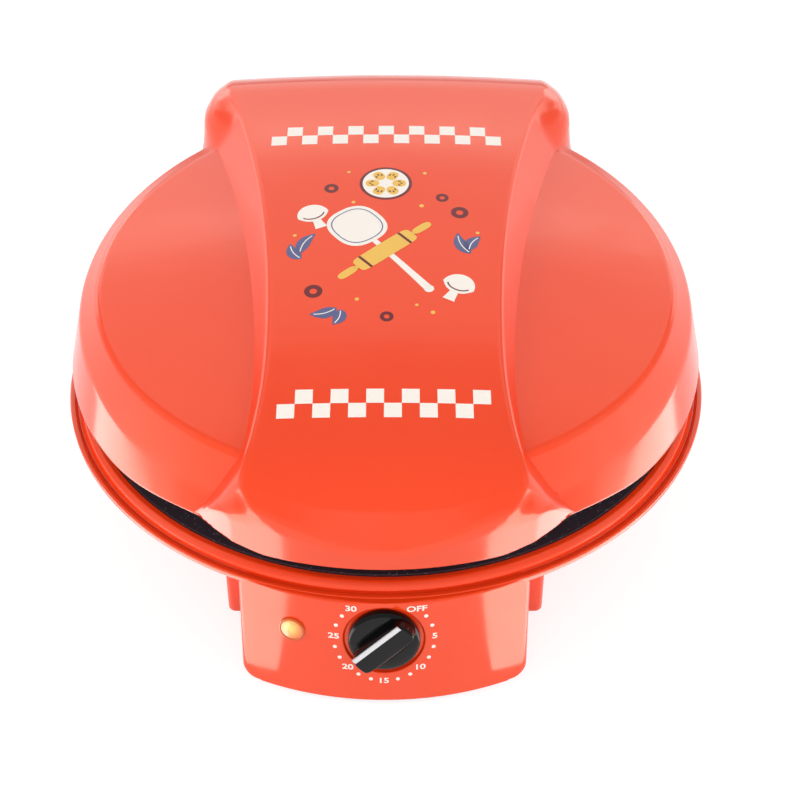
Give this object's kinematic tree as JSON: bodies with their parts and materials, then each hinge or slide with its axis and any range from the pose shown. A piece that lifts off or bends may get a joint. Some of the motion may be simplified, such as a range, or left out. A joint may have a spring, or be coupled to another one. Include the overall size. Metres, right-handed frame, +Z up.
{
  "type": "countertop pizza maker",
  "caption": "Round two-plate countertop cooker with a hinged spine-backed lid, a curved control panel with turning timer knob and lamp, and a rear hinge housing.",
  "frame": {"origin": "on the table under the centre of the box, which is on the axis of the round plates", "axes": "+Z up, -Y towards the control panel, +Y towards the hinge, +X to the right seen from the front"},
  "size_m": [0.344, 0.3822, 0.155],
  "materials": {
    "red_lid": "glossy red-orange moulding with printed decoration",
    "red_base": "glossy red-orange moulding",
    "nonstick": "dark non-stick coating with fine speckle",
    "element_steel": "heat-tinted steel tube",
    "spring_steel": "plain spring steel",
    "tinplate": "bright tinned sheet",
    "screw_steel": "zinc-plated steel",
    "control_black": "moulded phenolic",
    "fuse_metal": "plated case",
    "black_cover": "textured black moulding",
    "rubber": "soft matt rubber",
    "bell_brass": "polished bell",
    "amber_lens": "clear amber lens, lit",
    "neon_glass": "glass envelope",
    "ivory_plastic": "moulded nylon",
    "wire_white": "glass-braid wire",
    "knob_black": "glossy black",
    "pointer_silver": "bright inlay",
    "shaft_steel": "ground steel"
  },
  "bodies": {
    "base": {"base_shell": "red_base", "lower_plate": "nonstick", "lower_element": "element_steel", "lower_clips": "spring_steel", "lower_shield": "tinplate", "lower_screws": "screw_steel", "lower_thermostat": "control_black", "thermal_fuse": "fuse_metal", "bottom_cover": "black_cover", "cover_screws": "screw_steel", "rubber_feet": "rubber", "timer_case": "tinplate", "timer_bell": "bell_brass", "timer_screws": "screw_steel", "indicator_lens": "amber_lens", "neon_lamp": "neon_glass", "lens_collar": "control_black", "terminal_block": "ivory_plastic", "cord_gland": "black_cover", "supply_wires": "wire_white", "crossing_wires": "wire_white", "hinge_brackets": "red_base", "bracket_screws": "screw_steel"},
    "knob": {"timer_knob": "knob_black", "knob_pointer": "pointer_silver", "timer_shaft": "shaft_steel"},
    "lid": {"lid_shell": "red_lid", "upper_plate": "nonstick", "upper_element": "element_steel", "upper_clips": "spring_steel", "upper_shield": "tinplate", "upper_screws": "screw_steel", "upper_thermostat": "control_black", "hinge_arms": "red_lid", "hinge_pins": "shaft_steel", "lid_wires": "wire_white"}
  },
  "joints": [
    {"name": "lid_hinge", "type": "hinge", "parent": "base", "child": "lid", "pos_m": [0, 0.174, 0.074], "axis": [-1, 0, 0], "range_deg": [0, 100]},
    {"name": "timer_turn", "type": "hinge", "parent": "base", "child": "knob", "pos_m": [0, -0.17869, 0.039], "axis": [0, -0.9857, 0.1685], "range_deg": [-93.33, 186.67]}
  ]
}
